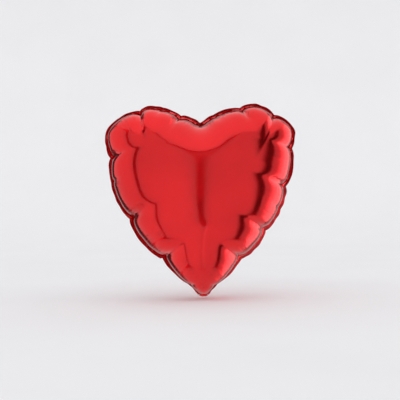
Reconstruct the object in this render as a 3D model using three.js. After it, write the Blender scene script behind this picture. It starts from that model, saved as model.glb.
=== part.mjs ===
// Heart-shaped foil balloon, inflated, with its filling neck tucked up behind the foot of the heart.
// Millimetres, +Z up, the front face looks along -Y.
// Origin: the fold line at the foot, where the neck leaves the seam and a ribbon is tied round it.
//
// Two foils are welded to each other round a flat border. Gas enters through the neck, between the two
// films of a valve that runs from the neck's mouth, through the seam, to two free lips inside the heart.
import * as THREE from "three";

// Overall sizes, across the outer edge of the welded border.
const WIDTH = 368;
const HEIGHT = 373;
const THICKNESS = 158;

// The heart's outline.
const LOBE_SPACING = 200; // between the tops of the two lobes
const NOTCH_DEPTH = 33; // from the lobes' tops down to the notch
const NOTCH_SLOPE = THREE.MathUtils.degToRad(33); // of the edge where it leaves the notch
const SHOULDER_DROP = 60; // from the lobes' tops down to the widest place
const FOOT_RADIUS = 20;
const FLANK_SLOPE = THREE.MathUtils.degToRad(53.5); // of the edge where it leaves the round foot

// The films. They stand in for films a tenth as thick, so CLEARANCE keeps the layers apart.
const FOIL = 0.3;
const VALVE_FILM = 0.2;
const CLEARANCE = 0.3;

// The welded border.
const BORDER = 6;
const WELD_MARGIN = 0.6; // of bare border on each side of the weld

// The filling neck and its valve.
const NECK_WIDTH = 32;
const NECK_LENGTH = 58;
const NECK_CORNER = 4;
const FILL_HOLE_RADIUS = 4;
const FILL_HOLE_RISE = 12; // from the neck's mouth up to the middle of the hole
const VALVE_WIDTH = 20;
const VALVE_SETBACK = 3; // of the valve's mouth inside the neck's mouth
const LIP_LENGTH = 88;
const FOLD_ROOM = 1.2; // from the fold line to the neck's own root

// Fineness of the foils' facets.
const HALF_STEPS = 40;
const RINGS = 8;

// The layers, front to back of the middle plane: valve film, clearance, foil.
const valveInside = CLEARANCE / 2;
const valveOutside = valveInside + VALVE_FILM;
const foilInside = valveOutside + CLEARANCE;
const foilOutside = foilInside + FOIL;

// The border's lowest point clears the neck's root as it turns about the fold line.
const foot = Math.hypot(FOLD_ROOM, foilOutside) + CLEARANCE;

const FRONT = -1;
const REAR = 1;

const foilRed = new THREE.MeshStandardMaterial({ color: 0xc9121d, metalness: 0.85, roughness: 0.25 });
const clearFilm = new THREE.MeshStandardMaterial({ color: 0xe6ebee, metalness: 0, roughness: 0.3 });

// The right half of the border's outer edge in x and z, from the middle of the foot up to the notch.
function edgeCurve() {
  const arcCentre = foot + FOOT_RADIUS;
  const flankFoot = new THREE.Vector2(
    FOOT_RADIUS * Math.sin(FLANK_SLOPE),
    arcCentre - FOOT_RADIUS * Math.cos(FLANK_SLOPE),
  );
  const shoulder = new THREE.Vector2(WIDTH / 2, HEIGHT - SHOULDER_DROP);
  const lobeTop = new THREE.Vector2(LOBE_SPACING / 2, HEIGHT);
  const notch = new THREE.Vector2(0, HEIGHT - NOTCH_DEPTH);

  // A cubic from a to b that leaves a and reaches b along the given angles.
  const cubic = (a, angleA, pullA, b, angleB, pullB) => {
    const chord = a.distanceTo(b);
    const handle = (p, angle, length) =>
      new THREE.Vector2(p.x + length * Math.cos(angle), p.y + length * Math.sin(angle));
    return new THREE.CubicBezierCurve(
      a,
      handle(a, angleA, pullA * chord),
      handle(b, angleB, pullB * chord),
      b,
    );
  };
  const up = Math.PI / 2;
  const path = new THREE.CurvePath();
  path.add(new THREE.EllipseCurve(0, arcCentre, FOOT_RADIUS, FOOT_RADIUS, -up, FLANK_SLOPE - up));
  path.add(cubic(flankFoot, FLANK_SLOPE, 0.15, shoulder, -up, 0.58));
  path.add(cubic(shoulder, up, 0.26, lobeTop, 0, 0.24));
  path.add(cubic(lobeTop, Math.PI, 0.24, notch, NOTCH_SLOPE, 0.24));
  return path;
}

// The whole edge, anticlockwise as seen from the front, from the middle of the foot.
function edgeLoop() {
  const right = edgeCurve().getSpacedPoints(HALF_STEPS);
  const left = right.slice(1, -1).reverse();
  return [...right, ...left.map((p) => new THREE.Vector2(-p.x, p.y))];
}

// A closed loop moved inwards by a distance.
function inset(loop, distance) {
  return loop.map((p, i) => {
    const along = loop[(i + 1) % loop.length].clone().sub(loop.at(i - 1)).normalize();
    return new THREE.Vector2(p.x - along.y * distance, p.y + along.x * distance);
  });
}

// How high a stretched sheet, fixed round its rim, rises under an even pressure: one value per point.
// It is the finite-element answer on the given triangles, swept until it settles.
function pressedSheet(points, triangles, isFixed) {
  const load = new Float64Array(points.length);
  const links = points.map(() => new Map());
  for (const triangle of triangles) {
    for (let k = 0; k < 3; k++) {
      const [a, b, c] = [triangle[k], triangle[(k + 1) % 3], triangle[(k + 2) % 3]];
      const u = points[b].clone().sub(points[a]);
      const v = points[c].clone().sub(points[a]);
      const twiceArea = Math.abs(u.cross(v));
      const pull = u.dot(v) / twiceArea / 2; // half the cotangent of the corner at a
      links[b].set(c, (links[b].get(c) ?? 0) + pull);
      links[c].set(b, (links[c].get(b) ?? 0) + pull);
      load[a] += twiceArea / 6;
    }
  }
  const height = new Float64Array(points.length);
  const SWEEPS = 1500;
  for (let sweep = 0; sweep < SWEEPS; sweep++) {
    for (let i = 0; i < points.length; i++) {
      if (isFixed(i)) continue;
      let pulls = 0;
      let pulled = load[i];
      for (const [j, pull] of links[i]) {
        pulls += pull;
        pulled += pull * height[j];
      }
      height[i] = pulled / pulls;
    }
  }
  return height;
}

const edge = edgeLoop();
const seam = inset(edge, BORDER);
const spokes = edge.length;

// The crowned sheet of one foil, on the gas side: rows from the border's edge to the crown's middle.
function foilSheet() {
  const middle = new THREE.Vector2(0, (edge[0].y + HEIGHT) * 0.6);
  const rows = [edge, seam];
  for (let ring = 1; ring < RINGS; ring++) {
    const share = Math.cos(((ring / RINGS) * Math.PI) / 2);
    rows.push(seam.map((p) => p.clone().sub(middle).multiplyScalar(share).add(middle)));
  }
  const flat = [...rows.flat(), middle];
  const last = flat.length - 1;
  const triangles = [];
  for (let row = 0; row + 1 < rows.length; row++) {
    for (let i = 0; i < spokes; i++) {
      const [a, b] = [row * spokes + i, row * spokes + ((i + 1) % spokes)];
      triangles.push([a, b, b + spokes], [a, b + spokes, a + spokes]);
    }
  }
  for (let i = 0; i < spokes; i++) {
    triangles.push([last - spokes + i, last - spokes + ((i + 1) % spokes), last]);
  }
  // The square root turns the sheet's gentle rise into an inflated one, which stands up at the seam.
  const rise = pressedSheet(flat, triangles, (i) => i < 2 * spokes).map(Math.sqrt);
  const crown = THICKNESS / 2 - foilOutside;
  const most = Math.max(...rise);
  const depth = [...rise].map((r) => foilInside + (crown * r) / most);
  return { flat, depth, triangles };
}

const sheet = foilSheet();

// One foil as a closed solid: the sheet, the same sheet moved outwards by its thickness, and the rim.
function foilGeometry(side) {
  const inner = sheet.flat.map((p, i) => new THREE.Vector3(p.x, side * sheet.depth[i], p.y));
  const facing = (t) => (side === FRONT ? t : [t[0], t[2], t[1]]);
  const skin = new THREE.BufferGeometry().setFromPoints(inner);
  skin.setIndex(sheet.triangles.flatMap(facing));
  skin.computeVertexNormals();
  const normals = skin.getAttribute("normal");
  const outer = inner.map((p, i) =>
    new THREE.Vector3().fromBufferAttribute(normals, i).multiplyScalar(FOIL).add(p),
  );
  const count = inner.length;
  const index = [];
  for (const triangle of sheet.triangles) {
    const [a, b, c] = facing(triangle);
    index.push(a + count, b + count, c + count, a, c, b);
  }
  for (let i = 0; i < spokes; i++) {
    const [a, b] = side === FRONT ? [i, (i + 1) % spokes] : [(i + 1) % spokes, i];
    index.push(a, b, b + count, a, b + count, a + count);
  }
  const solid = new THREE.BufferGeometry().setFromPoints([...inner, ...outer]);
  solid.setIndex(index);
  return solid;
}

// A flat piece cut to a shape in x and z, lying between two depths.
function flatPiece(shape, front, back) {
  const cut = new THREE.ExtrudeGeometry(shape, { depth: back - front, bevelEnabled: false, curveSegments: 6 });
  return cut.rotateX(Math.PI / 2).translate(0, back, 0);
}

// The same, as one layer on the front or the rear side of the middle plane.
function layer(shape, side, inside, outside) {
  return side === FRONT ? flatPiece(shape, -outside, -inside) : flatPiece(shape, inside, outside);
}

// A rectangle about x = 0 with its two lower corners rounded.
function strip(width, low, high, corner = 0) {
  const half = width / 2;
  const shape = new THREE.Shape().moveTo(-half, high).lineTo(-half, low + corner);
  if (corner) shape.absarc(-half + corner, low + corner, corner, Math.PI, 1.5 * Math.PI);
  shape.lineTo(half - corner, low);
  if (corner) shape.absarc(half - corner, low + corner, corner, 1.5 * Math.PI, 2 * Math.PI);
  return shape.lineTo(half, high).closePath();
}

// Where the valve passes through the border: half of its width with room on each side.
const throatHalf = VALVE_WIDTH / 2 + CLEARANCE;

// The point on the stretch from p to q where x reaches a value.
function pointAtX(p, q, x) {
  return p.clone().lerp(q, (x - p.x) / (q.x - p.x));
}

// A loop from the right of the valve round to its left, without the stretch across the foot.
function aroundValve(loop) {
  const first = loop.findIndex((p) => p.x > throatHalf);
  const last = loop.length - first;
  const start = pointAtX(loop[first - 1], loop[first], throatHalf);
  const end = pointAtX(loop[last], loop[(last + 1) % loop.length], -throatHalf);
  return [start, ...loop.slice(first, last + 1), end];
}

// The weld's band follows the border and stops on each side of the valve.
function seamWeldShape() {
  const outside = aroundValve(inset(edge, WELD_MARGIN));
  const inside = aroundValve(inset(edge, BORDER - WELD_MARGIN));
  return new THREE.Shape([...outside, ...inside.reverse()]);
}

// The height at which the gas space is wide enough for the valve's films to be free of the border.
function throatTop() {
  return aroundValve(seam)[0].y + CLEARANCE;
}

// The angle from hanging straight down at which the neck lies just clear of the rear foil.
function tuckAngle() {
  const reach = NECK_LENGTH + BORDER;
  let lean = 0; // from straight up
  sheet.flat.forEach((p, i) => {
    const depth = sheet.depth[i] + FOIL;
    const away = Math.hypot(depth, p.y);
    if (Math.abs(p.x) > NECK_WIDTH / 2 + BORDER || away > reach) return;
    const ownHalf = Math.asin(Math.min(1, (foilOutside + 2 * CLEARANCE) / away));
    lean = Math.max(lean, Math.atan2(depth, p.y) + ownHalf);
  });
  return Math.PI - lean;
}

function mesh(name, geometry, material) {
  const made = new THREE.Mesh(geometry, material);
  made.name = name;
  return made;
}

// The envelope: two foils and the weld that joins their borders.
function envelope() {
  const group = new THREE.Group();
  group.add(mesh("front_foil_panel", foilGeometry(FRONT), foilRed));
  group.add(mesh("rear_foil_panel", foilGeometry(REAR), foilRed));
  group.add(mesh("seam_weld", flatPiece(seamWeldShape(), -valveOutside, valveOutside), foilRed));
  return group;
}

// The valve inside the heart: a throat held between the borders, and two free lips above it.
// Each lip turns about the throat's top edge.
function valve() {
  const group = new THREE.Group();
  const top = throatTop();
  const throat = strip(VALVE_WIDTH, foot, top);
  const lip = strip(VALVE_WIDTH, top + CLEARANCE, top + LIP_LENGTH);
  for (const [side, word] of [[FRONT, "front"], [REAR, "rear"]]) {
    group.add(mesh(`valve_${word}_throat`, layer(throat, side, valveInside, valveOutside), clearFilm));
    group.add(mesh(`valve_${word}_lip`, layer(lip, side, valveInside, valveOutside), clearFilm));
  }
  return group;
}

// The neck, made as it hangs, then turned up behind the heart about the fold line.
function neck() {
  const group = new THREE.Group();
  const root = -FOLD_ROOM;
  const mouth = -NECK_LENGTH;
  const frontShape = strip(NECK_WIDTH, mouth, root, NECK_CORNER);
  frontShape.holes.push(
    new THREE.Path().absarc(0, mouth + FILL_HOLE_RISE, FILL_HOLE_RADIUS, 0, 2 * Math.PI, true),
  );
  const rearShape = strip(NECK_WIDTH, mouth, root, NECK_CORNER);
  group.add(mesh("neck_front_foil", layer(frontShape, FRONT, foilInside, foilOutside), foilRed));
  group.add(mesh("neck_rear_foil", layer(rearShape, REAR, foilInside, foilOutside), foilRed));

  const tail = strip(VALVE_WIDTH, mouth + VALVE_SETBACK, root);
  group.add(mesh("valve_front_tail", layer(tail, FRONT, valveInside, valveOutside), clearFilm));
  group.add(mesh("valve_rear_tail", layer(tail, REAR, valveInside, valveOutside), clearFilm));

  const weldWidth = NECK_WIDTH / 2 - WELD_MARGIN - throatHalf;
  for (const [side, word] of [[-1, "left"], [1, "right"]]) {
    const weld = flatPiece(strip(weldWidth, mouth + NECK_CORNER, root), -valveOutside, valveOutside);
    weld.translate(side * (throatHalf + weldWidth / 2), 0, 0);
    group.add(mesh(`neck_weld_${word}`, weld, foilRed));
  }
  group.rotation.x = tuckAngle();
  return group;
}

const balloon = new THREE.Group();
balloon.add(envelope(), valve(), neck());

export default balloon;
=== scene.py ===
import bpy
import math
import numpy as np
from mathutils import Matrix, Vector
from mathutils.geometry import delaunay_2d_cdt


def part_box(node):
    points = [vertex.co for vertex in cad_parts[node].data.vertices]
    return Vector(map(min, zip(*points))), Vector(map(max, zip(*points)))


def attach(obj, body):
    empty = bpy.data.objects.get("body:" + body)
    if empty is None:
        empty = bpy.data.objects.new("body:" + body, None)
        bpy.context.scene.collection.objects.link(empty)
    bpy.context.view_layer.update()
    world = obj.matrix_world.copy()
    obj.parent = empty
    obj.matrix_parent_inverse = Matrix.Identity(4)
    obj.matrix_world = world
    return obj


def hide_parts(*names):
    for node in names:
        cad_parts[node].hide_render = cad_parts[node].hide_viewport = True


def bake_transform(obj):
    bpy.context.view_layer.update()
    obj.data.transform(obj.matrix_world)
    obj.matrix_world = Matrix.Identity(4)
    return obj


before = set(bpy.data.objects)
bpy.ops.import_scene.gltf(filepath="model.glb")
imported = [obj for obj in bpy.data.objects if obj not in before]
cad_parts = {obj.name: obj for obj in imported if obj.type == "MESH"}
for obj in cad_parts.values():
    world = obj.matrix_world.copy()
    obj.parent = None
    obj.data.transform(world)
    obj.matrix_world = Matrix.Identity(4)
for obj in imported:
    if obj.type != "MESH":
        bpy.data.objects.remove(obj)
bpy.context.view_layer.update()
scene = bpy.context.scene


# ---------------------------------------------------------------------------------------------
# The welded seam. Two heart-shaped foils are cut together and heat-sealed round a flat border.
# The seam is far too long for the filled heart, so it kinks inwards where the film folds into a
# crease and bows out a little between the kinks.
# ---------------------------------------------------------------------------------------------
LOW_CORNER, HIGH_CORNER = (Vector(corner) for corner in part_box("front_foil_panel"))
HALF_WIDTH = HIGH_CORNER.x
FOOT, LOBE_TOP = LOW_CORNER.z, HIGH_CORNER.z
BORDER = 0.006
LOBE_X, NOTCH_DEPTH, SHOULDER_DROP = 0.100, 0.033, 0.060
FOOT_RADIUS = 0.020
FLANK_SLOPE, NOTCH_SLOPE = math.radians(53.5), math.radians(33)

# Each crease: the side and the share of the way from the foot to the notch where it leaves the
# seam, its length across the foil, and how deep it cuts.
CREASES = [
    (1, 0.060, 0.022, 0.5),
    (1, 0.178, 0.050, 1.0),
    (1, 0.300, 0.060, 1.0),
    (1, 0.385, 0.026, 0.5),
    (1, 0.463, 0.066, 1.0),
    (1, 0.590, 0.060, 0.6),
    (1, 0.735, 0.058, 1.0),
    (1, 0.860, 0.036, 0.7),
    (1, 0.950, 0.020, 0.3),
    (-1, 0.066, 0.022, 0.5),
    (-1, 0.185, 0.056, 1.0),
    (-1, 0.355, 0.052, 1.0),
    (-1, 0.490, 0.024, 0.4),
    (-1, 0.570, 0.066, 0.9),
    (-1, 0.790, 0.052, 1.0),
    (-1, 0.870, 0.022, 0.3),
    (-1, 0.935, 0.030, 0.7),
]


def bezier(start, start_angle, start_pull, end, end_angle, end_pull, count=60):
    start, end = Vector(start), Vector(end)
    chord = (end - start).length
    first = start + Vector((math.cos(start_angle), math.sin(start_angle))) * start_pull * chord
    second = end + Vector((math.cos(end_angle), math.sin(end_angle))) * end_pull * chord
    points = []
    for i in range(1, count + 1):
        t = i / count
        near_start = (1 - t) ** 3 * start + 3 * (1 - t) ** 2 * t * first
        points.append(near_start + 3 * (1 - t) * t * t * second + t ** 3 * end)
    return points


def half_edge():
    """The right half of the border's outer edge in x and z, from the foot up to the notch."""
    centre = FOOT + FOOT_RADIUS
    points = []
    for i in range(31):
        angle = FLANK_SLOPE * i / 30
        points.append(Vector((FOOT_RADIUS * math.sin(angle), centre - FOOT_RADIUS * math.cos(angle))))
    shoulder = (HALF_WIDTH, LOBE_TOP - SHOULDER_DROP)
    top = (LOBE_X, LOBE_TOP)
    points += bezier(points[-1], FLANK_SLOPE, 0.15, shoulder, -math.pi / 2, 0.58)
    points += bezier(shoulder, math.pi / 2, 0.26, top, 0, 0.24)
    points += bezier(top, math.pi, 0.24, (0, LOBE_TOP - NOTCH_DEPTH), NOTCH_SLOPE, 0.24)
    return np.array(points)


HALF_EDGE = half_edge()
HALF_SHARE = np.r_[0, np.cumsum(np.linalg.norm(np.diff(HALF_EDGE, axis=0), axis=1))]
HALF_LENGTH = HALF_SHARE[-1]
HALF_SHARE = HALF_SHARE / HALF_LENGTH


def edge_at(share):
    """Points on the smooth edge. Shares run from -1 (notch, by the left) through 0 (foot) to 1."""
    share = (np.asarray(share, float) + 1) % 2 - 1
    x = np.interp(np.abs(share), HALF_SHARE, HALF_EDGE[:, 0]) * np.sign(share)
    return np.stack([x, np.interp(np.abs(share), HALF_SHARE, HALF_EDGE[:, 1])], axis=-1)


def edge_normal(share):
    """Unit vectors that point inwards, square to the edge."""
    along = edge_at(np.asarray(share) + 0.004) - edge_at(np.asarray(share) - 0.004)
    along /= np.linalg.norm(along, axis=-1, keepdims=True)
    return np.stack([-along[..., 1], along[..., 0]], axis=-1)


def smoothstep(value, low, high):
    t = np.clip((value - low) / (high - low), 0, 1)
    return t * t * (3 - 2 * t)


DEEP_CUT = 0.55
DEEP_CREASES = np.sort([side * at for side, at, reach, cut in CREASES if cut > DEEP_CUT] + [1.0])
DEEP_CREASES = np.r_[DEEP_CREASES[-1] - 2, DEEP_CREASES]


def between_creases(share):
    """Where a share lies between its two deep creases, -1 to 1, and their distance in metres."""
    last = len(DEEP_CREASES) - 2
    slot = np.clip(np.searchsorted(DEEP_CREASES, share, side="right") - 1, 0, last)
    width = DEEP_CREASES[slot + 1] - DEEP_CREASES[slot]
    return 2 * (share - DEEP_CREASES[slot]) / width - 1, width * HALF_LENGTH


KINK_DEPTH, KINK_RUN = 0.0028, 0.006
BOW = 0.045
BOW_LEVEL = 0.35
FOOT_CALM = 0.020, 0.070


def seam_dip(share):
    """How far the seam lies inside its smooth line: deep at each kink, bowed out between kinks."""
    across, width = between_creases(share)
    off_foot = smoothstep(np.abs(share) * HALF_LENGTH, *FOOT_CALM)
    dip = BOW * width * (BOW_LEVEL - (1 - across ** 2)) * off_foot
    for side, at, reach, cut in CREASES:
        away = np.abs((share - side * at + 1) % 2 - 1) * HALF_LENGTH
        dip = dip + KINK_DEPTH * cut * np.exp(-away / KINK_RUN)
    return dip


# ---------------------------------------------------------------------------------------------
# The two foils. Each is a laminate of nylon, vaporised aluminium and polyethylene that can't
# stretch, only fold: filling it pulls the seam inwards, and the spare film round the rim stands
# up as plump pillows between sharp creases. Net and solver work in metres.
# ---------------------------------------------------------------------------------------------
FLAT_SCALE = 1.22
NET_SIZE = 0.0068
CLEAR_OF_LINES = 0.62


def flat_net():
    """A triangle net over the flat heart, with a row of places on each crease.

    Returns places, triangles, each rim place's share, and a mark on the places of the creases."""
    rim_count = int(2 * HALF_LENGTH * FLAT_SCALE / NET_SIZE)
    shares = (np.arange(rim_count) / rim_count) * 2 - 1
    folds, starts = [], []
    for side, at, reach, cut in CREASES:
        starts.append(np.abs(shares - side * at).argmin())
        shares[starts[-1]] = side * at
        inward = edge_normal(side * at)
        steps = np.arange(1, reach * FLAT_SCALE / NET_SIZE) * NET_SIZE
        folds.append((edge_at(side * at) + inward * BORDER) * FLAT_SCALE + inward * steps[:, None])
    folds = np.vstack(folds)
    rim = (edge_at(shares) + edge_normal(shares) * BORDER) * FLAT_SCALE
    low, high = rim.min(axis=0), rim.max(axis=0)
    row_height = NET_SIZE * math.sqrt(3) / 2
    inside = []
    for row in range(int((high[1] - low[1]) / row_height) + 1):
        z = low[1] + row * row_height
        for column in range(int((high[0] - low[0]) / NET_SIZE) + 2):
            inside.append((low[0] + (column + 0.5 * (row % 2)) * NET_SIZE, z))
    inside = np.array(inside)
    gaps = np.linalg.norm(inside[:, None] - np.vstack([rim, folds])[None], axis=2).min(axis=1)
    inside = inside[gaps > NET_SIZE * CLEAR_OF_LINES]
    points = [Vector(p) for p in np.vstack([rim, folds, inside])]
    loop = list(range(rim_count))
    places, _, faces, _, _, _ = delaunay_2d_cdt(points, [], [loop], 1, 1e-6)
    flat = np.array([p[:] for p in places])
    faces = np.array([f[:] for f in faces])
    used = np.unique(faces)
    renumber = np.full(len(flat), -1)
    renumber[used] = np.arange(len(used))
    flat, faces = flat[used], renumber[faces]
    rim_share = np.full(len(flat), np.nan)
    for share, place in zip(shares, rim):
        rim_share[np.linalg.norm(flat - place, axis=1).argmin()] = share
    on_fold = np.zeros(len(flat), bool)
    for place in np.vstack([folds, rim[starts]]):
        on_fold[np.linalg.norm(flat - place, axis=1).argmin()] = True
    return flat, faces, rim_share, on_fold


def edges_of(faces):
    pairs = np.sort(np.vstack([faces[:, [0, 1]], faces[:, [1, 2]], faces[:, [2, 0]]]), axis=1)
    return np.unique(pairs, axis=0, return_inverse=True)


def refine(flat, faces, rim_share, on_fold, shape):
    """Splits each triangle in four. New rim points go to their place on the curve."""
    edges, index = edges_of(faces)
    on_rim = np.bincount(index.ravel(), minlength=len(edges)) == 1
    index = index.reshape(3, -1).T + len(flat)
    a, b = edges[:, 0], edges[:, 1]
    middle_share = np.full(len(edges), np.nan)
    first, second = rim_share[a[on_rim]], rim_share[b[on_rim]]
    wraps = np.abs(first - second) > 1
    mean = (first + second) / 2
    middle_share[on_rim] = np.where(wraps, mean - np.sign(mean), mean)
    middles = (flat[a] + flat[b]) / 2
    rim = middle_share[on_rim]
    middles[on_rim] = (edge_at(rim) + edge_normal(rim) * BORDER) * FLAT_SCALE
    new_faces = np.vstack([
        np.stack([faces[:, 0], index[:, 0], index[:, 2]], axis=1),
        np.stack([faces[:, 1], index[:, 1], index[:, 0]], axis=1),
        np.stack([faces[:, 2], index[:, 2], index[:, 1]], axis=1),
        index,
    ])
    return (
        np.vstack([flat, middles]),
        new_faces,
        np.r_[rim_share, middle_share],
        np.r_[on_fold, on_fold[a] & on_fold[b]],
        np.vstack([shape, (shape[a] + shape[b]) / 2]),
    )


MOST_ROUNDS, SMALL_ENOUGH = 900, 1e-14


def pressed(places, faces, is_rim):
    """How high a stretched sheet on this net, held at its rim, rises under an even pressure."""
    count = len(places)
    weights = np.zeros((len(faces), 3))
    for k in range(3):
        a, b, c = (places[faces[:, (k + turn) % 3]] for turn in range(3))
        u, v = b - a, c - a
        twice_area = np.abs(u[:, 0] * v[:, 1] - u[:, 1] * v[:, 0])
        weights[:, k] = (u * v).sum(axis=1) / twice_area / 2
    load = np.bincount(faces.ravel(), np.repeat(twice_area / 6, 3), minlength=count)
    ends = np.vstack([faces[:, [1, 2]], faces[:, [2, 0]], faces[:, [0, 1]]])
    pull = weights.T.ravel()
    whole = np.bincount(ends.ravel(), np.repeat(pull, 2), minlength=count)

    def spread(height):
        passed = np.bincount(
            np.r_[ends[:, 0], ends[:, 1]],
            np.r_[pull * height[ends[:, 1]], pull * height[ends[:, 0]]],
            minlength=count,
        )
        return np.where(is_rim, 0, whole * height - passed)

    height = np.zeros(count)
    left = np.where(is_rim, 0, load)
    step = left / whole
    scaled = left @ step
    for _ in range(MOST_ROUNDS):
        moved = spread(step)
        size = scaled / (step @ moved)
        height += size * step
        left = left - size * moved
        fresh = np.where(is_rim, 0, left / whole)
        grown = left @ fresh
        step = fresh + grown / scaled * step
        scaled = grown
        if scaled < SMALL_ENOUGH:
            break
    return height / height.max()


CROWN = 0.0700
FULLNESS = 1.8
MIDDLE = np.array([0.0, 0.222])


def smooth_dome(flat, faces, is_rim, crown):
    """Where the film lies before it creases: a dome over the heart that stands up at the seam."""
    outward = np.sqrt(np.clip(1 - pressed(flat, faces, is_rim), 0, 1))
    drawn_in = FLAT_SCALE - (FLAT_SCALE - 1) * outward ** 3
    plan = MIDDLE + (flat / FLAT_SCALE - MIDDLE) * drawn_in[:, None]
    lift = np.clip(pressed(plan, faces, is_rim), 0, 1)
    rise = crown * np.sqrt(1 - (1 - lift) ** FULLNESS)
    return np.stack([plan[:, 0], rise, plan[:, 1]], axis=1)


def depth_in(plan):
    """Distance of places in the plan from the seam, and the unit direction away from it."""
    shares = np.linspace(-1, 1, 1400, endpoint=False)
    inward = edge_normal(shares)
    rim = edge_at(shares) + inward * BORDER
    distance = np.empty(len(plan))
    nearest = np.empty(len(plan), int)
    for i in range(0, len(plan), 2000):
        gaps = np.linalg.norm(plan[i:i + 2000, None] - rim[None], axis=2)
        nearest[i:i + 2000] = gaps.argmin(axis=1)
        distance[i:i + 2000] = gaps.min(axis=1)
    return distance, inward[nearest], shares[nearest]


RING = 0.070
PILLOW_RISE = 0.070
PILLOW_CROWN = 0.020


def pillow_bulge(plan):
    """How far the plump pillows between the deep creases stand out of the smooth dome."""
    distance, _, share = depth_in(plan)
    across, width = between_creases(share)
    crown = distance / PILLOW_CROWN * np.exp(1 - distance / PILLOW_CROWN)
    crown *= 1 - smoothstep(distance, RING, 2 * RING)
    return PILLOW_RISE * width * (1 - np.abs(across) ** 3) * crown


def crease_mask(plan, width, spread, fade_from, fade_to):
    """1 on the line of each crease, falling to 0 over width beside it and over its inner part.

    spread is how much wider it gets for each length of its own reach."""
    mask = np.zeros(len(plan))
    for side, at, reach, cut in CREASES:
        inward = edge_normal(side * at)
        offset = plan - edge_at(side * at) - inward * BORDER
        run = offset @ inward
        across = np.abs(offset @ np.array([inward[1], -inward[0]]))
        fade = 1 - smoothstep(run, reach * fade_from, reach * fade_to)
        wider = width * (1 + spread * np.clip(run / reach, 0, 4) ** 2)
        mask = np.maximum(mask, cut * fade * np.exp(-across / wider) * (run > -0.01))
    return mask


CREASE_CUT = 0.0012
CREASE_SPREAD = 0.003, 0.0, 0.7, 1.5
FOLD_DEPTH = 0.0024
FOLD_SPREAD = 0.0042, 1.6, 0.9, 2.4
SEAM_EXCESS = 0.02
CREASE_PULL = 0.02


def outward_normals(shape, faces):
    a, b, c = shape[faces[:, 0]], shape[faces[:, 1]], shape[faces[:, 2]]
    turned = np.cross(c - a, b - a)
    normals = np.stack([
        np.bincount(faces.ravel(), np.repeat(turned[:, k], 3), minlength=len(shape)) for k in range(3)
    ], axis=1)
    return normals / np.linalg.norm(normals, axis=1, keepdims=True)


def film_lengths(dome, plan, edges):
    """The film's length along each net edge: spare across the pillows, short along the creases."""
    vector = dome[edges[:, 1]] - dome[edges[:, 0]]
    middle = (plan[edges[:, 0]] + plan[edges[:, 1]]) / 2
    distance, away, _ = depth_in(middle)
    mask = crease_mask(middle, *CREASE_SPREAD)
    spare = 1 + SEAM_EXCESS * np.clip(1 - distance / RING, 0, 1)
    across = vector[:, 0] * -away[:, 1] + vector[:, 2] * away[:, 0]
    whole = (vector * vector).sum(axis=1)
    along = np.sqrt(np.maximum(whole - across ** 2, 0))
    return np.hypot(along * (1 - CREASE_PULL * mask), across * spare)


CARRY, SWEEPS, OVERSHOOT = 0.93, 5, 1.3
PRESSURE_FADE = 0.6


def settle(shape, lengths, edges, index, faces, fixed, on_fold, rounds, push, stiff_bend):
    """Blows the film up: pressure pushes it out, and its own lengths hold it.

    It resists bending across every net edge except those that lie on a fold."""
    count = len(shape)
    owner = index.ravel()
    order = np.argsort(owner, kind="stable")
    opposite = np.concatenate([faces[:, 2], faces[:, 0], faces[:, 1]])[order]
    shared = np.nonzero(owner[order][1:] == owner[order][:-1])[0]
    hinge = edges[owner[order][shared]]
    wings = np.stack([opposite[shared], opposite[shared + 1]], axis=1)
    stiff = ~(on_fold[hinge[:, 0]] & on_fold[hinge[:, 1]])
    hinge, wings = hinge[stiff], wings[stiff]
    ends = np.r_[edges[:, 0], edges[:, 1]]
    valence = np.maximum(np.bincount(ends, minlength=count), 1)
    free = ~fixed
    typical = lengths.mean()
    before = shape.copy()
    for step in range(rounds):
        a, b, c = shape[faces[:, 0]], shape[faces[:, 1]], shape[faces[:, 2]]
        normals = np.cross(c - a, b - a)
        force = np.stack([
            np.bincount(faces.ravel(), np.repeat(normals[:, k], 3), minlength=count) for k in range(3)
        ], axis=1)
        force *= push * typical / (typical ** 2 * 6)
        fade = 1 - PRESSURE_FADE * step / rounds
        moved = shape + (shape - before) * CARRY + force * fade
        before = shape
        shape = np.where(free[:, None], moved, shape)
        for _ in range(SWEEPS):
            gap = shape[edges[:, 1]] - shape[edges[:, 0]]
            size = np.sqrt((gap * gap).sum(axis=1))
            fix = gap * (0.5 * (size - lengths) / np.maximum(size, 1e-9))[:, None]
            total = np.stack([
                np.bincount(ends, np.r_[fix[:, k], -fix[:, k]], minlength=count) for k in range(3)
            ], axis=1)
            shape = np.where(free[:, None], shape + total / valence[:, None] * OVERSHOOT, shape)
        middle = (shape[hinge[:, 0]] + shape[hinge[:, 1]]) / 2
        outer = (shape[wings[:, 0]] + shape[wings[:, 1]]) / 2
        gap = (outer - middle) * stiff_bend
        total = np.stack([
            np.bincount(
                np.r_[hinge.ravel(), wings.ravel()],
                np.r_[np.repeat(gap[:, k], 2), -np.repeat(gap[:, k], 2)],
                minlength=count,
            ) for k in range(3)
        ], axis=1)
        shape = np.where(free[:, None], shape + total / valence[:, None], shape)
        shape[:, 1] = np.maximum(shape[:, 1], 0)
    return shape


# Rounds, pressure and stiffness, on the coarse net and then on the refined one.
COARSE_PASS = 220, 0.0012, 0.20
FINE_PASS = 150, 0.0010, 0.12


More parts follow.
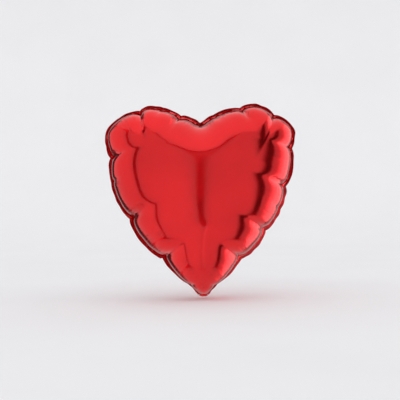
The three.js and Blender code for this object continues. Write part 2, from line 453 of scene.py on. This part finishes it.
def filled_film(crown, pillows):
    """The filled foil: triangles, each rim place's share, and places with y as the rise."""
    flat, faces, rim_share, on_fold = flat_net()
    shape = None
    levels = [COARSE_PASS]
    levels.append(FINE_PASS)
    for level, (rounds, push, stiff_bend) in enumerate(levels):
        if level:
            flat, faces, rim_share, on_fold, shape = refine(flat, faces, rim_share, on_fold, shape)
        rim = ~np.isnan(rim_share)
        dome = smooth_dome(flat, faces, rim, crown)
        plan = flat / FLAT_SCALE
        bulge = pillows * pillow_bulge(plan) - CREASE_CUT * crease_mask(plan, *CREASE_SPREAD)
        dome += outward_normals(dome, faces) * np.where(rim, 0, bulge)[:, None]
        if shape is None:
            shape = dome.copy()
        edges, index = edges_of(faces)
        lengths = film_lengths(dome, plan, edges)
        shares = rim_share[rim]
        line = edge_at(shares) + edge_normal(shares) * (BORDER + seam_dip(shares))[:, None]
        shape[rim] = np.stack([line[:, 0], np.zeros(len(line)), line[:, 1]], axis=1)
        shape = settle(shape, lengths, edges, index, faces, rim, on_fold, rounds, push, stiff_bend)
    fold = np.where(rim, 0, FOLD_DEPTH * crease_mask(flat / FLAT_SCALE, *FOLD_SPREAD))
    shape -= outward_normals(shape, faces) * fold[:, None]
    return faces, rim_share, shape


FILM = 0.0002
WELD_GAP, VALVE_GAP = 0.0002, 0.00045
VALVE_HALF_WIDTH = 0.0125
RUFFLE = 0.0016
LIFTED, LAID_BACK = math.radians(74), math.radians(24)
BORDER_ROWS = 6


def film_gap(share, depth):
    """Half the room between the two foils: the weld's film, and the valve's two films at the foot."""
    run = np.abs(share) * HALF_LENGTH
    beside_valve = smoothstep(run, VALVE_HALF_WIDTH, VALVE_HALF_WIDTH + 0.006)
    near_foot = (1 - beside_valve) * (1 - smoothstep(depth, 0, 0.03))
    return WELD_GAP + (VALVE_GAP - WELD_GAP) * near_foot


def ruffle(share):
    """How far the border's outer edge waves off the middle plane: bunches of short lobes."""
    run = share * HALF_LENGTH
    bunch = 0.55 + 0.45 * np.sin(run / 0.031 + 1.3 * np.sin(run / 0.083))
    wave = np.sin(run / 0.0030 + 2.2 * np.sin(run / 0.027) + 1.1 * np.sin(run / 0.0113))
    calm = smoothstep(np.abs(run), 0.012, 0.030)
    return RUFFLE * bunch * wave * calm


def border_place(share, out):
    """A place on the border's middle plane, at a distance out from the seam.

    The border is lifted forwards over the lobes and the left flank, and lies back on the right one."""
    part = out / BORDER
    run = share * HALF_LENGTH
    reach = out * (1 + 0.10 * np.sin(run / 0.0047 + 1.7 * np.sin(run / 0.019)))
    flat_flank = smoothstep(share, 0.02, 0.10) * (1 - smoothstep(share, 0.40, 0.55))
    calm = smoothstep(np.abs(run), 0.014, 0.045)
    lift = LIFTED * (1 - flat_flank) - LAID_BACK * flat_flank
    lift = lift * calm * (0.83 + 0.17 * np.sin(run / 0.013))
    inset = BORDER * (1 - np.cos(lift)) * 0.75
    line = edge_at(share) + edge_normal(share) * (
        BORDER + seam_dip(share) - inset - reach * np.cos(lift)
    )[:, None]
    forward = -reach * np.sin(lift) * part ** 0.5
    return np.stack([line[:, 0], forward + ruffle(share) * part ** 1.2, line[:, 1]], axis=1)


def closed_film(name, inner, outer, faces, marks, turn=0):
    """A thin closed solid between two matching layers of places. Its faces wind outwards on outer.

    marks are UV values in metres. turn is the length after which the first of them starts again."""
    count = len(inner)
    sides = np.vstack([faces[:, [0, 1]], faces[:, [1, 2]], faces[:, [2, 0]]])
    _, index, uses = np.unique(np.sort(sides, axis=1), axis=0, return_inverse=True, return_counts=True)
    open_sides = sides[uses[index.ravel()] == 1]
    rim = [(b, a, a + count, b + count) for a, b in open_sides.tolist()]
    layers = [tuple(face) for face in (faces + count).tolist()]
    layers += [tuple(face) for face in faces[:, ::-1].tolist()]
    mesh = bpy.data.meshes.new(name)
    mesh.from_pydata(np.vstack([inner, outer]).tolist(), [], layers + rim)
    mesh.shade_smooth()
    sharp = {tuple(sorted((a + up, b + up))) for a, b in open_sides.tolist() for up in (0, count)}
    for edge in mesh.edges:
        edge.use_edge_sharp = tuple(sorted(edge.vertices)) in sharp
    corners = np.array([loop.vertex_index for loop in mesh.loops])
    starts = np.array([polygon.loop_start for polygon in mesh.polygons])
    values = np.vstack([marks, marks])[corners]
    if turn:
        first = np.repeat(values[starts, 0], np.diff(np.r_[starts, len(corners)]))
        values[:, 0] -= np.round((values[:, 0] - first) / turn) * turn
    layer = mesh.uv_layers.new(name="film")
    layer.data.foreach_set("uv", values.astype(np.float32).ravel())
    piece = bpy.data.objects.new(name, mesh)
    scene.collection.objects.link(piece)
    return piece


def strip_faces(first, second, closed):
    """Two triangles for each step between two rows of places."""
    last = len(first) if closed else len(first) - 1
    here, after = np.arange(last), (np.arange(last) + 1) % len(first)
    one = np.stack([first[here], second[here], second[after]], axis=1)
    return np.vstack([one, np.stack([first[here], second[after], first[after]], axis=1)])


def foil_panel(name, film, side):
    """One foil with its flat border. side is -1 for the front foil and 1 for the rear one."""
    faces, rim_share, shape = film
    order = np.nonzero(~np.isnan(rim_share))[0]
    order = order[np.argsort(rim_share[order])]
    shares = rim_share[order]
    depth, _, nearest = depth_in(shape[:, [0, 2]])
    depth[order], nearest[order] = 0, shares
    places = [shape * (1, side, 1)]
    places[0][order] = border_place(shares, np.zeros(len(order)))
    rows, previous = [faces], order
    for step in range(1, BORDER_ROWS + 1):
        out = np.full(len(order), BORDER * step / BORDER_ROWS)
        current = len(nearest) + np.arange(len(order))
        places.append(border_place(shares, out))
        nearest, depth = np.r_[nearest, shares], np.r_[depth, -out]
        rows.append(strip_faces(previous, current, closed=True))
        previous = current
    middle, faces = np.vstack(places), np.vstack(rows)
    if side == 1:
        faces = faces[:, ::-1]
    inner = middle + np.array([0, side, 0]) * film_gap(nearest, depth)[:, None]
    outer = inner + outward_normals(middle, faces) * FILM
    marks = np.stack([nearest * HALF_LENGTH, depth], axis=1)
    return closed_film(name, inner, outer, faces, marks, 2 * HALF_LENGTH)


def socket(material, name):
    return material.node_tree.nodes["Principled BSDF"].inputs[name]


def wire(tree, start, end):
    tree.links.new(start, end)


def noise(tree, coordinates, scale, detail, roughness=0.5):
    node = tree.nodes.new("ShaderNodeTexNoise")
    node.inputs["Scale"].default_value = scale
    node.inputs["Detail"].default_value = detail
    node.inputs["Roughness"].default_value = roughness
    wire(tree, coordinates, node.inputs["Vector"])
    return node.outputs["Fac"]


def remap(tree, value, low, high, to_low=0.0, to_high=1.0):
    node = tree.nodes.new("ShaderNodeMapRange")
    node.interpolation_type = "SMOOTHSTEP"
    wire(tree, value, node.inputs["Value"])
    node.inputs["From Min"].default_value = low
    node.inputs["From Max"].default_value = high
    node.inputs["To Min"].default_value = to_low
    node.inputs["To Max"].default_value = to_high
    return node.outputs["Result"]


def calculate(tree, operation, *values):
    node = tree.nodes.new("ShaderNodeMath")
    node.operation = operation
    for entry, value in zip(node.inputs, values):
        if isinstance(value, (int, float)):
            entry.default_value = value
        else:
            wire(tree, value, entry)
    return node.outputs[0]


def mix_colours(tree, factor, first, second):
    node = tree.nodes.new("ShaderNodeMix")
    node.data_type = "RGBA"
    wire(tree, factor, node.inputs["Factor"])
    for entry, value in ((node.inputs[6], first), (node.inputs[7], second)):
        if isinstance(value, tuple):
            entry.default_value = value
        else:
            wire(tree, value, entry)
    return node.outputs[2]


def foil_surface_group():
    """What a metallised film shows close up: gathers that run in square from the weld, the slight
    waviness of the laminate, printed ink that is a little uneven, the mat pattern of the weld, and
    a darker colour on the border that is mostly painted shade along the seam."""
    tree = bpy.data.node_groups.new("metallised film", "ShaderNodeTree")
    entries = (
        ("Ink", "NodeSocketColor", (0.8, 0.01, 0.01, 1)),
        ("Deep Ink", "NodeSocketColor", (0.5, 0.01, 0.01, 1)),
        ("Weld Ink And Shade", "NodeSocketColor", (0.3, 0.01, 0.01, 1)),
        ("Polish", "NodeSocketFloat", 0.14),
        ("Gather Depth", "NodeSocketFloat", 1.0),
    )
    for name, kind, value in entries:
        tree.interface.new_socket(name, in_out="INPUT", socket_type=kind).default_value = value
    tree.interface.new_socket("Color", in_out="OUTPUT", socket_type="NodeSocketColor")
    tree.interface.new_socket("Roughness", in_out="OUTPUT", socket_type="NodeSocketFloat")
    tree.interface.new_socket("Height", in_out="OUTPUT", socket_type="NodeSocketFloat")
    given = tree.nodes.new("NodeGroupInput").outputs
    result = tree.nodes.new("NodeGroupOutput").inputs
    seam = tree.nodes.new("ShaderNodeUVMap")
    seam.uv_map = "film"
    split = tree.nodes.new("ShaderNodeSeparateXYZ")
    wire(tree, seam.outputs["UV"], split.inputs[0])
    along, depth = split.outputs["X"], split.outputs["Y"]
    place = tree.nodes.new("ShaderNodeTexCoord").outputs["Object"]

    folded = tree.nodes.new("ShaderNodeCombineXYZ")
    wire(tree, calculate(tree, "MULTIPLY", along, 190.0), folded.inputs["X"])
    wire(tree, calculate(tree, "MULTIPLY", depth, 16.0), folded.inputs["Y"])
    ridges = calculate(tree, "SUBTRACT", noise(tree, folded.outputs[0], 1.0, 3.0, 0.55), 0.5)
    bunch = tree.nodes.new("ShaderNodeCombineXYZ")
    wire(tree, calculate(tree, "MULTIPLY", along, 17.0), bunch.inputs["X"])
    bunches = remap(tree, noise(tree, bunch.outputs[0], 1.0, 1.0), 0.42, 0.62, 0.12, 1.0)
    run_out = remap(tree, depth, 0.002, 0.044, 1.0, 0.0)
    gathers = calculate(tree, "MULTIPLY", calculate(tree, "MULTIPLY", ridges, bunches), run_out)
    gathers = calculate(tree, "MULTIPLY", gathers, given["Gather Depth"])
    waviness = calculate(tree, "MULTIPLY", noise(tree, place, 120.0, 2.0), 0.022)
    orange_peel = calculate(tree, "MULTIPLY", noise(tree, place, 900.0, 1.0), 0.003)
    height = calculate(tree, "ADD", gathers, calculate(tree, "ADD", waviness, orange_peel))

    smears = remap(tree, noise(tree, place, 21.0, 4.0, 0.6), 0.35, 0.75, 0.0, 0.07)
    scuffs = remap(tree, noise(tree, place, 160.0, 5.0, 0.7), 0.60, 0.74, 0.0, 0.09)
    on_weld = remap(tree, depth, -0.0010, -0.0002, 1.0, 0.0)
    ribs = calculate(tree, "SINE", calculate(tree, "MULTIPLY", depth, 2 * math.pi / 0.0011))
    weld_height = calculate(tree, "MULTIPLY", calculate(tree, "MULTIPLY", ribs, on_weld), 0.06)
    roughness = calculate(tree, "ADD", calculate(tree, "ADD", smears, scuffs), given["Polish"])
    roughness = calculate(tree, "ADD", roughness, calculate(tree, "MULTIPLY", on_weld, 0.10))
    uneven = remap(tree, noise(tree, place, 7.0, 3.0), 0.30, 0.72)
    ink = mix_colours(tree, uneven, given["Ink"], given["Deep Ink"])
    # Darker weld ink on the border: mostly painted shade along the seam, partly the look of sealed
    # film.
    wire(tree, mix_colours(tree, on_weld, ink, given["Weld Ink And Shade"]), result["Color"])
    wire(tree, roughness, result["Roughness"])
    wire(tree, calculate(tree, "ADD", height, weld_height), result["Height"])
    return tree


FILM_SURFACE = foil_surface_group()


def foil_material(name, ink, deep_ink, weld_ink_and_shade, polish, gather_depth):
    """Gravure-printed clear film over vaporised aluminium."""
    made = bpy.data.materials.new(name)
    made.use_nodes = True
    tree = made.node_tree
    surface = tree.nodes.new("ShaderNodeGroup")
    surface.node_tree = FILM_SURFACE
    surface.inputs["Ink"].default_value = (*ink, 1)
    surface.inputs["Deep Ink"].default_value = (*deep_ink, 1)
    surface.inputs["Weld Ink And Shade"].default_value = (*weld_ink_and_shade, 1)
    surface.inputs["Polish"].default_value = polish
    surface.inputs["Gather Depth"].default_value = gather_depth
    bump = tree.nodes.new("ShaderNodeBump")
    bump.inputs["Strength"].default_value = 1.0
    bump.inputs["Distance"].default_value = 0.0026
    wire(tree, surface.outputs["Height"], bump.inputs["Height"])
    wire(tree, surface.outputs["Color"], socket(made, "Base Color"))
    wire(tree, surface.outputs["Roughness"], socket(made, "Roughness"))
    wire(tree, bump.outputs["Normal"], socket(made, "Normal"))
    socket(made, "Metallic").default_value = 1.0
    socket(made, "Coat Weight").default_value = 0.6
    socket(made, "Coat Roughness").default_value = 0.05
    socket(made, "Coat IOR").default_value = 1.5
    return made


# The third red darkens the flat border: mostly painted shade along the seam, partly sealed film.
RED, DEEP_RED, SHADED_BORDER_RED = (0.80, 0.007, 0.011), (0.68, 0.004, 0.007), (0.48, 0.003, 0.006)
red_foil = foil_material("red foil", RED, DEEP_RED, SHADED_BORDER_RED, polish=0.17, gather_depth=1.5)
REAR_CROWN = CROWN * 0.985
front_foil = foil_panel("front_foil", filled_film(CROWN, pillows=1.0), side=-1)
rear_foil = foil_panel("rear_foil", filled_film(REAR_CROWN, pillows=0.8), side=1)
for piece, node, slot in (
    (front_foil, "front_foil_panel", "front_foil"),
    (rear_foil, "rear_foil_panel", "rear_foil"),
):
    piece.data.materials.append(red_foil)
    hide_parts(node)
    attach(piece, "envelope")


# ---------------------------------------------------------------------------------------------
# The seam weld. Where the hot jaw closed, the two inner faces melt into one strip inside the
# border. It stops on each side of the foot, where the valve's films pass between the foils.
# ---------------------------------------------------------------------------------------------
WELD_HALF_FILM = 0.00015
WELD_MARGIN = 0.0006
WELD_STEP = 0.0018
WELD_ROWS = 5


def weld_band(name):
    first = VALVE_HALF_WIDTH / HALF_LENGTH
    shares = np.linspace(first, 2 - first, int(2 * HALF_LENGTH / WELD_STEP))
    shares = np.where(shares > 1, shares - 2, shares)
    places, depths, faces = [], [], []
    for row in range(WELD_ROWS):
        out = WELD_MARGIN + (BORDER - 2 * WELD_MARGIN) * row / (WELD_ROWS - 1)
        places.append(border_place(shares, np.full(len(shares), out)))
        depths.append(np.full(len(shares), -out))
        here = row * len(shares) + np.arange(len(shares))
        if row:
            faces.append(strip_faces(here - len(shares), here, closed=False))
    middle, faces = np.vstack(places), np.vstack(faces)
    half = np.array([0, WELD_HALF_FILM, 0])
    marks = np.stack([np.tile(shares * HALF_LENGTH, WELD_ROWS), np.concatenate(depths)], axis=1)
    return closed_film(name, middle + half, middle - half, faces, marks, 2 * HALF_LENGTH)


MELTED_RED = (0.42, 0.012, 0.016)
# The melted film takes the same darker border red, with its painted shade.
weld_red = foil_material("melted film", MELTED_RED, SHADED_BORDER_RED, SHADED_BORDER_RED, polish=0.30, gather_depth=0)
socket(weld_red, "Metallic").default_value = 0.6
seam_weld = weld_band("seam_weld_band")
seam_weld.data.materials.append(weld_red)
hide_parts("seam_weld")
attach(seam_weld, "envelope")


# ---------------------------------------------------------------------------------------------
# The inlet valve. Two narrow clear films lie face to face. They are welded to the foils at the
# foot, hang free as two lips in the gas, and the gas presses the lips shut from both sides.
# ---------------------------------------------------------------------------------------------
VALVE_FILM = 0.0001
VALVE_PARTING = 0.0002
VALVE_STEP = 0.002
LIP_WAVE = 0.0012


def film_net(half, start, end, step, hole=None, corner=0.0):
    """A triangle net over a strip: places across and along it. hole is (middle along, radius)."""
    rows = max(2, round((end - start) / step))
    columns = max(2, round(2 * half / step))
    inside = []
    run = [start + (end - start) * i / rows for i in range(rows + 1)]
    for s in run:
        inside += [(half * (2 * j / columns - 1), s) for j in range(1, columns)]
    left = [(-half, s) for s in run]
    right = [(half, s) for s in run[::-1]]
    if corner:
        left = [p for p in left if p[1] < end - corner]
        right = [p for p in right if p[1] < end - corner]
        for i in range(7):
            angle = math.pi / 2 * i / 6
            across = half - corner + corner * math.cos(angle)
            left.append((-across, end - corner + corner * math.sin(angle)))
            right.insert(0, (across, end - corner + corner * math.sin(angle)))
    bottom = [(half * (1 - 2 * j / columns), start) for j in range(1, columns)]
    top = [(half * (2 * j / columns - 1), end) for j in range(1, columns)]
    if corner:
        top = [p for p in top if abs(p[0]) < half - corner - step / 2]
    outline = left + top + right + bottom
    keep = [p for p in inside if start + step / 2 < p[1] < end - step / 2]
    if corner:
        keep = [
            p for p in keep
            if p[1] < end - corner or abs(p[0]) < half - corner
        ]
    loops, points = [list(range(len(outline)))], list(outline)
    if hole:
        middle, radius = hole
        keep = [p for p in keep if math.hypot(p[0], p[1] - middle) > radius + step / 2]
        ring = [2 * math.pi * i / 28 for i in range(28)]
        loops.append([len(points) + i for i in range(28)])
        points += [(radius * math.cos(a), middle + radius * math.sin(a)) for a in ring]
    places, _, faces, _, _, _ = delaunay_2d_cdt(
        [Vector(p) for p in points + keep], [], loops, 1, 1e-7
    )
    places = np.array([p[:] for p in places])
    faces = np.array([f[:] for f in faces])
    if hole:
        centres = places[faces].mean(axis=1) - (0, middle)
        faces = faces[np.hypot(centres[:, 0], centres[:, 1]) > radius * 0.98]
    return places, faces


def laid_film(name, net, surface, low, high):
    """A film laid between two offsets from a bent surface: surface(places, offset) gives places."""
    places, faces = net
    if isinstance(low, (int, float)):
        low, high = np.full(len(places), low), np.full(len(places), high)
    a, b = surface(places, low), surface(places, high)
    turned = np.cross(b[faces[:, 1]] - b[faces[:, 0]], b[faces[:, 2]] - b[faces[:, 0]])
    toward = (b[faces[:, 0]] - a[faces[:, 0]])
    if (turned * toward).sum() < 0:
        faces = faces[:, ::-1]
    return closed_film(name, a, b, faces, places)


def lip_surface(places, offset):
    """Films that stand up inside the balloon: level at the weld, then waving together."""
    x, z = places[:, 0], places[:, 1]
    free = smoothstep(z, 0.016, 0.060)
    wave = LIP_WAVE * free * np.sin((z - 0.016) / 0.013)
    wave = wave + 0.5 * LIP_WAVE * free * np.sin(x / 0.0045)
    return np.stack([x, wave + offset, z], axis=1)


def valve_material():
    """Clear polyethylene, milky where it is doubled and finely scratched by its own folds."""
    made = bpy.data.materials.new("clear valve film")
    made.use_nodes = True
    tree = made.node_tree
    place = tree.nodes.new("ShaderNodeTexCoord").outputs["Object"]
    haze = remap(tree, noise(tree, place, 140.0, 3.0), 0.35, 0.70)
    colour = mix_colours(tree, haze, (0.78, 0.80, 0.82, 1), (0.92, 0.93, 0.94, 1))
    wire(tree, colour, socket(made, "Base Color"))
    scratches = remap(tree, noise(tree, place, 420.0, 4.0), 0.35, 0.75, 0.16, 0.42)
    wire(tree, scratches, socket(made, "Roughness"))
    wire(tree, remap(tree, haze, 0.0, 1.0, 0.40, 0.62), socket(made, "Alpha"))
    bump = tree.nodes.new("ShaderNodeBump")
    bump.inputs["Distance"].default_value = 0.0002
    wire(tree, noise(tree, place, 300.0, 2.0), bump.inputs["Height"])
    wire(tree, bump.outputs["Normal"], socket(made, "Normal"))
    socket(made, "IOR").default_value = 1.51
    return made


clear_film = valve_material()
valve_low, valve_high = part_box("valve_front_throat"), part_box("valve_front_lip")
VALVE_HALF = valve_low[1][0]
for part, body, box in (("throat", "envelope", valve_low), ("lip", None, valve_high)):
    net = film_net(VALVE_HALF, box[0][2], box[1][2], VALVE_STEP)
    for side, sign in (("front", -1), ("rear", 1)):
        inner, outer = sign * VALVE_PARTING, sign * (VALVE_PARTING + VALVE_FILM)
        piece = laid_film(f"valve_{side}_{part}_film", net, lip_surface, inner, outer)
        piece.data.materials.append(clear_film)
        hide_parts(f"valve_{side}_{part}")
        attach(piece, body or f"{side}_lip")


# ---------------------------------------------------------------------------------------------
# The filling neck. Both foils run on below the foot as a flat tail, welded along its two sides
# with the valve's film between them. It gathers into pleats at the foot, is folded up behind
# the balloon, and the fold is what lets it hang. A hole in its front foil takes the straw.
# ---------------------------------------------------------------------------------------------
neck_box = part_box("neck_front_foil")
NECK_HALF = neck_box[1][0]
NECK_LENGTH = 0.058
NECK_CORNER = 0.004
OVERLAP = 0.0016
FILL_HOLE = (NECK_LENGTH - 0.012, 0.004)
GATHERED_HALF = 0.0072
GATHER_RUN = 0.030
TUCK, CURL = math.radians(14), math.radians(36)
PLEAT = 0.0009
SIDE_WELD = (0.0106, 0.0154)
NECK_STEP = 0.0014
FOIL_LOW, FOIL_HIGH = 0.00042, 0.00062
WELD_HALF = 0.0003
TAIL_LOW, TAIL_HIGH = 0.00014, 0.00024


def neck_half_width(s):
    """The tail's half width: gathered at the foot, full width further down."""
    return GATHERED_HALF + (NECK_HALF - GATHERED_HALF) * float(smoothstep(s, 0.0, GATHER_RUN))


def neck_line(s):
    """The tail's middle line in y and z, and its heading, from the foot's overlap to the mouth."""
    steps = np.linspace(-OVERLAP, NECK_LENGTH, 400)
    turn = smoothstep(steps, -0.0004, 0.0022) * (math.pi / 2 + TUCK)
    heading = -math.pi / 2 + turn + smoothstep(steps, 0.006, 0.032) * (CURL - TUCK)
    size = steps[1] - steps[0]
    y = np.cumsum(np.cos(heading)) * size
    z = np.cumsum(np.sin(heading)) * size
    low = z.min()
    y -= y[0]
    z += neck_box[0][2] - low + 0.0004
    return np.interp(s, steps, y), np.interp(s, steps, z), np.interp(s, steps, heading)


def neck_surface(places, offset):
    """The folded tail. Places are across and along it. Offsets count towards its front foil."""
    across, s = places[:, 0], places[:, 1]
    half = np.array([neck_half_width(value) for value in s])
    part = across / NECK_HALF
    y, z, heading = neck_line(s)
    gathered = 1 - smoothstep(s, 0.0, GATHER_RUN)
    settled = smoothstep(s, 0.0005, 0.006)
    pleats = PLEAT * gathered * settled * np.sin(part * 13.0 + 0.6)
    sag = 0.0006 * smoothstep(s, 0.012, 0.045) * np.sin(s / 0.0085) * (0.4 + part ** 2)
    lift = pleats + sag + offset
    foot = FOOT_RADIUS - np.sqrt(FOOT_RADIUS ** 2 - (part * half) ** 2)
    raised = foot * (1 - smoothstep(s, 0.0, 0.012))
    return np.stack([
        part * half,
        y + np.sin(heading) * lift,
        z - np.cos(heading) * lift + raised,
    ], axis=1)


def neck_film(name, node, start, end, low, high, material, slot, across=(-1, 1), **net):
    """One film of the tail. across is its part of the tail's width, from -1 to 1."""
    middle, half = (across[0] + across[1]) / 2 * NECK_HALF, (across[1] - across[0]) / 2 * NECK_HALF
    places, faces = film_net(half, start, end, NECK_STEP, **net)
    places = places + (middle, 0)
    near_foot = 1 - smoothstep(places[:, 1], 0.0, 0.004)
    spread = 0.0004 * near_foot * np.sign(low + high) if slot == "neck_foil" else np.zeros(len(places))
    piece = laid_film(name, (places, faces), neck_surface, low + spread, high + spread)
    piece.data.materials.append(material)
    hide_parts(node)
    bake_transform(piece)
    return piece


neck_red = foil_material("red neck foil", RED, DEEP_RED, RED, polish=0.16, gather_depth=0.5)
front_tail = neck_film(
    "neck_front_film", "neck_front_foil", -OVERLAP, NECK_LENGTH, FOIL_LOW, FOIL_HIGH, neck_red,
    "neck_foil", hole=FILL_HOLE, corner=NECK_CORNER,
)
rear_tail = neck_film(
    "neck_rear_film", "neck_rear_foil", -OVERLAP, NECK_LENGTH, -FOIL_HIGH, -FOIL_LOW, neck_red,
    "neck_foil", corner=NECK_CORNER,
)
for side, sign in (("left", -1), ("right", 1)):
    edges = sorted(sign * x / NECK_HALF for x in SIDE_WELD)
    neck_film(
        f"neck_weld_{side}_strip", f"neck_weld_{side}", 0.001, NECK_LENGTH - NECK_CORNER,
        -WELD_HALF, WELD_HALF, weld_red, "neck_weld", across=edges,
    )
VALVE_SHARE = VALVE_HALF / NECK_HALF
TAIL_END = NECK_LENGTH - 0.003
for side, low, high in (("front", TAIL_LOW, TAIL_HIGH), ("rear", -TAIL_HIGH, -TAIL_LOW)):
    neck_film(
        f"valve_{side}_tail_film", f"valve_{side}_tail", 0.0, TAIL_END,
        low, high, clear_film, "valve_film", across=(-VALVE_SHARE, VALVE_SHARE),
    )


# ---------------------------------------------------------------------------------------------
# The room: matt paper that runs up into a backdrop under an even pale light, and lamps that
# only show in the foil. Two tall soft boxes stand in front with the camera between them, bright
# walls at the sides, two boxes behind, and a disk of light above and below.
# ---------------------------------------------------------------------------------------------
FRAME_WIDTH, LENS, SENSOR = 0.783, 85.0, 36.0
LEAN = math.radians(1.2)
camera_data = bpy.data.cameras.new("camera")
camera_data.lens, camera_data.sensor_width = LENS, SENSOR
camera = bpy.data.objects.new("camera", camera_data)
camera.location = (-0.003, -FRAME_WIDTH * LENS / SENSOR, 0.188)
camera.rotation_euler = (math.radians(90), LEAN, 0)
scene.collection.objects.link(camera)
scene.camera = camera


def paper_material(name, light, dark):
    """Seamless matt paper with a barely visible mottle."""
    made = bpy.data.materials.new(name)
    made.use_nodes = True
    tree = made.node_tree
    place = tree.nodes.new("ShaderNodeTexCoord").outputs["Object"]
    mottle = remap(tree, noise(tree, place, 3.0, 4.0), 0.3, 0.7)
    wire(tree, mix_colours(tree, mottle, light, dark), socket(made, "Base Color"))
    grain = remap(tree, noise(tree, place, 2.0, 3.0), 0.3, 0.7, 0.82, 0.92)
    wire(tree, grain, socket(made, "Roughness"))
    socket(made, "Specular IOR Level").default_value = 0.0
    return made


def sweep_floor(front, back, half_width, height, bend, z):
    """A floor that curves up into a backdrop."""
    profile = [(-front, 0.0), (back - bend, 0.0)]
    for i in range(1, 17):
        angle = math.pi / 2 * i / 16
        profile.append((back - bend + bend * math.sin(angle), bend - bend * math.cos(angle)))
    profile.append((back, height))
    vertices = [(x, y, z + up) for y, up in profile for x in (-half_width, half_width)]
    faces = [(2 * i, 2 * i + 1, 2 * i + 3, 2 * i + 2) for i in range(len(profile) - 1)]
    mesh = bpy.data.meshes.new("floor")
    mesh.from_pydata(vertices, [], faces)
    mesh.shade_smooth()
    made = bpy.data.objects.new("floor", mesh)
    scene.collection.objects.link(made)
    return made


floor = sweep_floor(front=60.0, back=3.4, half_width=60.0, height=30.0, bend=1.6, z=-0.006)
PALE, LESS_PALE = (0.90, 0.90, 0.905, 1), (0.885, 0.885, 0.89, 1)
floor.data.materials.append(paper_material("pale paper", PALE, LESS_PALE))
floor.visible_glossy = False
floor.visible_shadow = False


def soft_disk(name, place, target, radius, radiance):
    """A round lamp that only shows as a reflection."""
    lamp = soft_box(name, place, target, 2 * radius, 2 * radius, radiance)
    lamp.data.shape = "DISK"
    lamp.data.energy *= math.pi / 4
    return lamp


def soft_box(name, place, target, width, height, radiance, fade=(0, 0), turn=0):
    """A flat lamp that only shows as a reflection.

    fade is the share of its width that dims at its left and its right end, seen from behind it.
    turn is how far it leans to one side, in degrees."""
    light = bpy.data.lights.new(name, "AREA")
    light.shape = "RECTANGLE"
    light.size, light.size_y = width, height
    light.energy = radiance * math.pi * width * height
    if any(fade):
        light.use_nodes = True
        tree = light.node_tree
        across = tree.nodes.new("ShaderNodeSeparateXYZ")
        wire(tree, tree.nodes.new("ShaderNodeNewGeometry").outputs["Parametric"], across.inputs[0])
        low = remap(tree, across.outputs["X"], 0.0, max(fade[0], 1e-3))
        high = remap(tree, across.outputs["X"], 1.0 - max(fade[1], 1e-3), 1.0, 1.0, 0.0)
        strength = tree.nodes["Emission"].inputs["Strength"]
        wire(tree, calculate(tree, "MULTIPLY", low, high), strength)
    lamp = bpy.data.objects.new(name, light)
    lamp.location = place
    aim = (Vector(target) - Vector(place)).to_track_quat("-Z", "Y").to_matrix().to_4x4()
    lamp.rotation_euler = (aim @ Matrix.Rotation(math.radians(turn), 4, "Z")).to_euler()
    lamp.visible_camera = False
    lamp.visible_diffuse = False
    scene.collection.objects.link(lamp)
    return lamp


HEART_MIDDLE = (0, 0, 0.20)


def round_heart(azimuth, distance, height):
    """A place on a circle round the heart. Azimuth 0 is in front, and positive turns to the right."""
    angle = math.radians(azimuth)
    return (distance * math.sin(angle), -distance * math.cos(angle), height)


FRONT = 2.4
BOX_MIDDLE, BOX_HEIGHT = 0.11, 4.62
LEVEL = (0, 0, BOX_MIDDLE)
BETWEEN_X, BETWEEN_Z = 0.09, -1.45


def tall_box(name, azimuth, width, radiance, fade, turn=0):
    """A soft box on the circle round the heart, much taller than it."""
    place = round_heart(azimuth, FRONT, BOX_MIDDLE)
    return soft_box(name, place, LEVEL, width, BOX_HEIGHT, radiance, fade, turn)


tall_box("left front box", -21.6, 1.80, 0.84, fade=(0, 0.06), turn=-2.2)
tall_box("right front box", 23.2, 1.98, 0.77, fade=(0.08, 0.2), turn=2.2)
soft_box(
    "light between", (BETWEEN_X, -FRONT, BETWEEN_Z), (BETWEEN_X, 0, BETWEEN_Z), 0.42, 1.50, 0.80,
    fade=(0, 0.5),
)
tall_box("left wall", -82, 3.5, 0.9, fade=(0.03, 0.03))
tall_box("right wall", 79, 2.3, 0.64, fade=(0.1, 0.1))
tall_box("right glow", 104, 3.6, 1.95, fade=(0.5, 0.4))
soft_disk("ceiling", (0, 0, 2.5), HEART_MIDDLE, radius=2.45, radiance=1.08)
soft_disk("light from below", (0, 0, -2.2), HEART_MIDDLE, radius=2.40, radiance=0.80)
tall_box("left rear box", -158, 1.7, 0.42, fade=(0.1, 0.1))
tall_box("right rear box", 158, 1.7, 0.48, fade=(0.1, 0.1))

# The world lights the paper evenly. It is nearly dark in the foil, and as pale as the paper where
# the camera looks past the paper's edge.
world = bpy.data.worlds.new("room")
world.use_nodes = True
background = world.node_tree.nodes["Background"]
background.inputs["Color"].default_value = (0.965, 0.965, 0.98, 1)
ray = world.node_tree.nodes.new("ShaderNodeLightPath").outputs
lit = remap(world.node_tree, ray["Is Glossy Ray"], 0.0, 1.0, 1.03, 0.06)
seen = remap(world.node_tree, ray["Is Camera Ray"], 0.0, 1.0, 1.0, 0.86)
wire(world.node_tree, calculate(world.node_tree, "MULTIPLY", lit, seen), background.inputs["Strength"])
scene.world = world
scene.view_settings.view_transform = "Standard"
